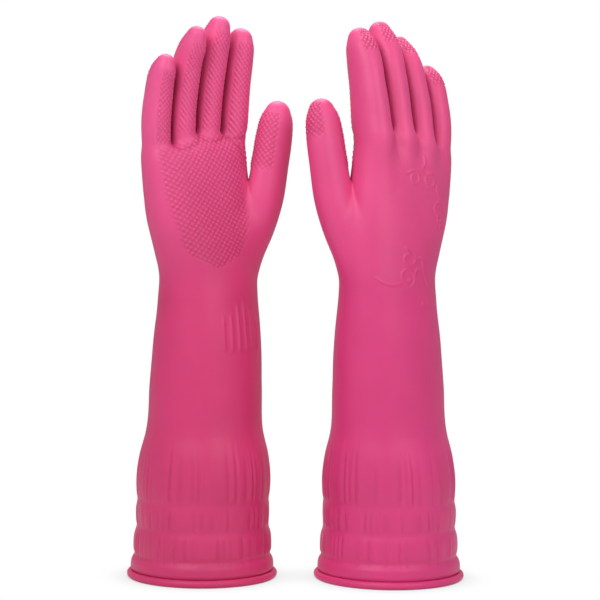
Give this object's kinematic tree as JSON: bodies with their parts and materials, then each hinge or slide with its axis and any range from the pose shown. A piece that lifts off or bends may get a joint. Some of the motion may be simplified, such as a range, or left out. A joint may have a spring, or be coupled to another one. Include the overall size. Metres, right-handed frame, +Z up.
{
  "type": "long rubber household gloves",
  "caption": "Pair of long pink rubber gloves standing on their rolled cuffs, with a fluted bell cuff, hinged wrist and jointed fingers.",
  "frame": {"origin": "on the table the gloves stand on, midway between the centres of the two cuffs", "axes": "+Z up the gloves towards the fingertips, +X from glove_a (palm to the front) to glove_b (back to the front), -Y to the front"},
  "size_m": [0.2308, 0.1028, 0.3808],
  "materials": {
    "glove_a_rubber": "satin",
    "glove_b_rubber": "satin"
  },
  "bodies": {
    "glove_a_sleeve": {"glove_a_cuff_bead": "glove_a_rubber", "glove_a_gauntlet": "glove_a_rubber"},
    "glove_a_hand": {"glove_a_hand": "glove_a_rubber"},
    "glove_a_thumb_root": {"glove_a_thumb_root": "glove_a_rubber"},
    "glove_a_thumb_tip": {"glove_a_thumb_tip": "glove_a_rubber"},
    "glove_a_index_root": {"glove_a_index_root": "glove_a_rubber"},
    "glove_a_index_mid": {"glove_a_index_mid": "glove_a_rubber"},
    "glove_a_index_tip": {"glove_a_index_tip": "glove_a_rubber"},
    "glove_a_middle_root": {"glove_a_middle_root": "glove_a_rubber"},
    "glove_a_middle_mid": {"glove_a_middle_mid": "glove_a_rubber"},
    "glove_a_middle_tip": {"glove_a_middle_tip": "glove_a_rubber"},
    "glove_a_ring_root": {"glove_a_ring_root": "glove_a_rubber"},
    "glove_a_ring_mid": {"glove_a_ring_mid": "glove_a_rubber"},
    "glove_a_ring_tip": {"glove_a_ring_tip": "glove_a_rubber"},
    "glove_a_little_root": {"glove_a_little_root": "glove_a_rubber"},
    "glove_a_little_mid": {"glove_a_little_mid": "glove_a_rubber"},
    "glove_a_little_tip": {"glove_a_little_tip": "glove_a_rubber"},
    "glove_b_sleeve": {"glove_b_cuff_bead": "glove_b_rubber", "glove_b_gauntlet": "glove_b_rubber"},
    "glove_b_hand": {"glove_b_hand": "glove_b_rubber"},
    "glove_b_thumb_root": {"glove_b_thumb_root": "glove_b_rubber"},
    "glove_b_thumb_tip": {"glove_b_thumb_tip": "glove_b_rubber"},
    "glove_b_index_root": {"glove_b_index_root": "glove_b_rubber"},
    "glove_b_index_mid": {"glove_b_index_mid": "glove_b_rubber"},
    "glove_b_index_tip": {"glove_b_index_tip": "glove_b_rubber"},
    "glove_b_middle_root": {"glove_b_middle_root": "glove_b_rubber"},
    "glove_b_middle_mid": {"glove_b_middle_mid": "glove_b_rubber"},
    "glove_b_middle_tip": {"glove_b_middle_tip": "glove_b_rubber"},
    "glove_b_ring_root": {"glove_b_ring_root": "glove_b_rubber"},
    "glove_b_ring_mid": {"glove_b_ring_mid": "glove_b_rubber"},
    "glove_b_ring_tip": {"glove_b_ring_tip": "glove_b_rubber"},
    "glove_b_little_root": {"glove_b_little_root": "glove_b_rubber"},
    "glove_b_little_mid": {"glove_b_little_mid": "glove_b_rubber"},
    "glove_b_little_tip": {"glove_b_little_tip": "glove_b_rubber"}
  },
  "joints": [
    {"name": "glove_a_wrist_fold", "type": "hinge", "parent": "glove_a_sleeve", "child": "glove_a_hand", "pos_m": [-0.06117, 0.00238, 0.206], "axis": [1, 0, 0], "range_deg": [-40, 50], "stiffness_Nm_per_rad": 0.3},
    {"name": "glove_a_thumb_root_fold", "type": "hinge", "parent": "glove_a_hand", "child": "glove_a_thumb_root", "pos_m": [-0.01967, 0.015, 0.285], "axis": [0.8144, 0.5703, -0.1074], "range_deg": [-10, 30], "stiffness_Nm_per_rad": 0.02},
    {"name": "glove_a_thumb_tip_fold", "type": "hinge", "parent": "glove_a_thumb_root", "child": "glove_a_thumb_tip", "pos_m": [-0.01699, 0.01461, 0.30323], "axis": [0.8144, 0.5703, -0.1074], "range_deg": [0, 45], "stiffness_Nm_per_rad": 0.008},
    {"name": "glove_a_index_root_fold", "type": "hinge", "parent": "glove_a_hand", "child": "glove_a_index_root", "pos_m": [-0.04822, 0.01324, 0.315], "axis": [0.766, 0.6427, -0.014], "range_deg": [-10, 60], "stiffness_Nm_per_rad": 0.012},
    {"name": "glove_a_index_mid_fold", "type": "hinge", "parent": "glove_a_index_root", "child": "glove_a_index_mid", "pos_m": [-0.04578, 0.0108, 0.33673], "axis": [0.766, 0.6427, -0.014], "range_deg": [0, 70], "stiffness_Nm_per_rad": 0.006},
    {"name": "glove_a_index_tip_fold", "type": "hinge", "parent": "glove_a_index_mid", "child": "glove_a_index_tip", "pos_m": [-0.04283, 0.00769, 0.35524], "axis": [0.766, 0.6427, -0.014], "range_deg": [0, 42], "stiffness_Nm_per_rad": 0.003},
    {"name": "glove_a_middle_root_fold", "type": "hinge", "parent": "glove_a_hand", "child": "glove_a_middle_root", "pos_m": [-0.06477, -0.00064, 0.316], "axis": [0.766, 0.6428, -0.0035], "range_deg": [-10, 60], "stiffness_Nm_per_rad": 0.012},
    {"name": "glove_a_middle_mid_fold", "type": "hinge", "parent": "glove_a_middle_root", "child": "glove_a_middle_mid", "pos_m": [-0.06202, -0.00378, 0.33964], "axis": [0.766, 0.6428, -0.0035], "range_deg": [0, 70], "stiffness_Nm_per_rad": 0.006},
    {"name": "glove_a_middle_tip_fold", "type": "hinge", "parent": "glove_a_middle_mid", "child": "glove_a_middle_tip", "pos_m": [-0.0587, -0.00763, 0.36001], "axis": [0.766, 0.6428, -0.0035], "range_deg": [0, 42], "stiffness_Nm_per_rad": 0.003},
    {"name": "glove_a_ring_root_fold", "type": "hinge", "parent": "glove_a_hand", "child": "glove_a_ring_root", "pos_m": [-0.08062, -0.01395, 0.313], "axis": [0.766, 0.6428, 0.0105], "range_deg": [-10, 60], "stiffness_Nm_per_rad": 0.012},
    {"name": "glove_a_ring_mid_fold", "type": "hinge", "parent": "glove_a_ring_root", "child": "glove_a_ring_mid", "pos_m": [-0.07786, -0.0176, 0.33452], "axis": [0.766, 0.6428, 0.0105], "range_deg": [0, 70], "stiffness_Nm_per_rad": 0.006},
    {"name": "glove_a_ring_tip_fold", "type": "hinge", "parent": "glove_a_ring_mid", "child": "glove_a_ring_tip", "pos_m": [-0.07455, -0.02184, 0.35326], "axis": [0.766, 0.6428, 0.0105], "range_deg": [0, 42], "stiffness_Nm_per_rad": 0.003},
    {"name": "glove_a_little_root_fold", "type": "hinge", "parent": "glove_a_hand", "child": "glove_a_little_root", "pos_m": [-0.09556, -0.02648, 0.3085], "axis": [0.7659, 0.6426, 0.0209], "range_deg": [-10, 60], "stiffness_Nm_per_rad": 0.012},
    {"name": "glove_a_little_mid_fold", "type": "hinge", "parent": "glove_a_little_root", "child": "glove_a_little_mid", "pos_m": [-0.09403, -0.02882, 0.32425], "axis": [0.7659, 0.6426, 0.0209], "range_deg": [0, 70], "stiffness_Nm_per_rad": 0.006},
    {"name": "glove_a_little_tip_fold", "type": "hinge", "parent": "glove_a_little_mid", "child": "glove_a_little_tip", "pos_m": [-0.09216, -0.03151, 0.33838], "axis": [0.7659, 0.6426, 0.0209], "range_deg": [0, 42], "stiffness_Nm_per_rad": 0.003},
    {"name": "glove_b_wrist_fold", "type": "hinge", "parent": "glove_b_sleeve", "child": "glove_b_hand", "pos_m": [0.06117, -0.00238, 0.206], "axis": [-1, 0, 0], "range_deg": [-40, 50], "stiffness_Nm_per_rad": 0.3},
    {"name": "glove_b_thumb_root_fold", "type": "hinge", "parent": "glove_b_hand", "child": "glove_b_thumb_root", "pos_m": [0.01967, -0.015, 0.285], "axis": [-0.8144, -0.5703, -0.1074], "range_deg": [-10, 30], "stiffness_Nm_per_rad": 0.02},
    {"name": "glove_b_thumb_tip_fold", "type": "hinge", "parent": "glove_b_thumb_root", "child": "glove_b_thumb_tip", "pos_m": [0.01699, -0.01461, 0.30323], "axis": [-0.8144, -0.5703, -0.1074], "range_deg": [0, 45], "stiffness_Nm_per_rad": 0.008},
    {"name": "glove_b_index_root_fold", "type": "hinge", "parent": "glove_b_hand", "child": "glove_b_index_root", "pos_m": [0.04822, -0.01324, 0.315], "axis": [-0.766, -0.6427, -0.014], "range_deg": [-10, 60], "stiffness_Nm_per_rad": 0.012},
    {"name": "glove_b_index_mid_fold", "type": "hinge", "parent": "glove_b_index_root", "child": "glove_b_index_mid", "pos_m": [0.04578, -0.0108, 0.33673], "axis": [-0.766, -0.6427, -0.014], "range_deg": [0, 70], "stiffness_Nm_per_rad": 0.006},
    {"name": "glove_b_index_tip_fold", "type": "hinge", "parent": "glove_b_index_mid", "child": "glove_b_index_tip", "pos_m": [0.04283, -0.00769, 0.35524], "axis": [-0.766, -0.6427, -0.014], "range_deg": [0, 42], "stiffness_Nm_per_rad": 0.003},
    {"name": "glove_b_middle_root_fold", "type": "hinge", "parent": "glove_b_hand", "child": "glove_b_middle_root", "pos_m": [0.06477, 0.00064, 0.316], "axis": [-0.766, -0.6428, -0.0035], "range_deg": [-10, 60], "stiffness_Nm_per_rad": 0.012},
    {"name": "glove_b_middle_mid_fold", "type": "hinge", "parent": "glove_b_middle_root", "child": "glove_b_middle_mid", "pos_m": [0.06202, 0.00378, 0.33964], "axis": [-0.766, -0.6428, -0.0035], "range_deg": [0, 70], "stiffness_Nm_per_rad": 0.006},
    {"name": "glove_b_middle_tip_fold", "type": "hinge", "parent": "glove_b_middle_mid", "child": "glove_b_middle_tip", "pos_m": [0.0587, 0.00763, 0.36001], "axis": [-0.766, -0.6428, -0.0035], "range_deg": [0, 42], "stiffness_Nm_per_rad": 0.003},
    {"name": "glove_b_ring_root_fold", "type": "hinge", "parent": "glove_b_hand", "child": "glove_b_ring_root", "pos_m": [0.08062, 0.01395, 0.313], "axis": [-0.766, -0.6428, 0.0105], "range_deg": [-10, 60], "stiffness_Nm_per_rad": 0.012},
    {"name": "glove_b_ring_mid_fold", "type": "hinge", "parent": "glove_b_ring_root", "child": "glove_b_ring_mid", "pos_m": [0.07786, 0.0176, 0.33452], "axis": [-0.766, -0.6428, 0.0105], "range_deg": [0, 70], "stiffness_Nm_per_rad": 0.006},
    {"name": "glove_b_ring_tip_fold", "type": "hinge", "parent": "glove_b_ring_mid", "child": "glove_b_ring_tip", "pos_m": [0.07455, 0.02184, 0.35326], "axis": [-0.766, -0.6428, 0.0105], "range_deg": [0, 42], "stiffness_Nm_per_rad": 0.003},
    {"name": "glove_b_little_root_fold", "type": "hinge", "parent": "glove_b_hand", "child": "glove_b_little_root", "pos_m": [0.09556, 0.02648, 0.3085], "axis": [-0.7659, -0.6426, 0.0209], "range_deg": [-10, 60], "stiffness_Nm_per_rad": 0.012},
    {"name": "glove_b_little_mid_fold", "type": "hinge", "parent": "glove_b_little_root", "child": "glove_b_little_mid", "pos_m": [0.09403, 0.02882, 0.32425], "axis": [-0.7659, -0.6426, 0.0209], "range_deg": [0, 70], "stiffness_Nm_per_rad": 0.006},
    {"name": "glove_b_little_tip_fold", "type": "hinge", "parent": "glove_b_little_mid", "child": "glove_b_little_tip", "pos_m": [0.09216, 0.03151, 0.33838], "axis": [-0.7659, -0.6426, 0.0209], "range_deg": [0, 42], "stiffness_Nm_per_rad": 0.003},
    {"name": "glove_b_lift", "type": "slide", "parent": "glove_a_sleeve", "child": "glove_b_sleeve", "axis": [0, 0, 1], "range_m": [0, 0.42]}
  ],
  "couplings": [
    {"joint": "glove_a_index_tip_fold", "follows": "glove_a_index_mid_fold", "ratio": 0.6},
    {"joint": "glove_a_middle_tip_fold", "follows": "glove_a_middle_mid_fold", "ratio": 0.6},
    {"joint": "glove_a_ring_tip_fold", "follows": "glove_a_ring_mid_fold", "ratio": 0.6},
    {"joint": "glove_a_little_tip_fold", "follows": "glove_a_little_mid_fold", "ratio": 0.6},
    {"joint": "glove_b_index_tip_fold", "follows": "glove_b_index_mid_fold", "ratio": 0.6},
    {"joint": "glove_b_middle_tip_fold", "follows": "glove_b_middle_mid_fold", "ratio": 0.6},
    {"joint": "glove_b_ring_tip_fold", "follows": "glove_b_ring_mid_fold", "ratio": 0.6},
    {"joint": "glove_b_little_tip_fold", "follows": "glove_b_little_mid_fold", "ratio": 0.6}
  ]
}
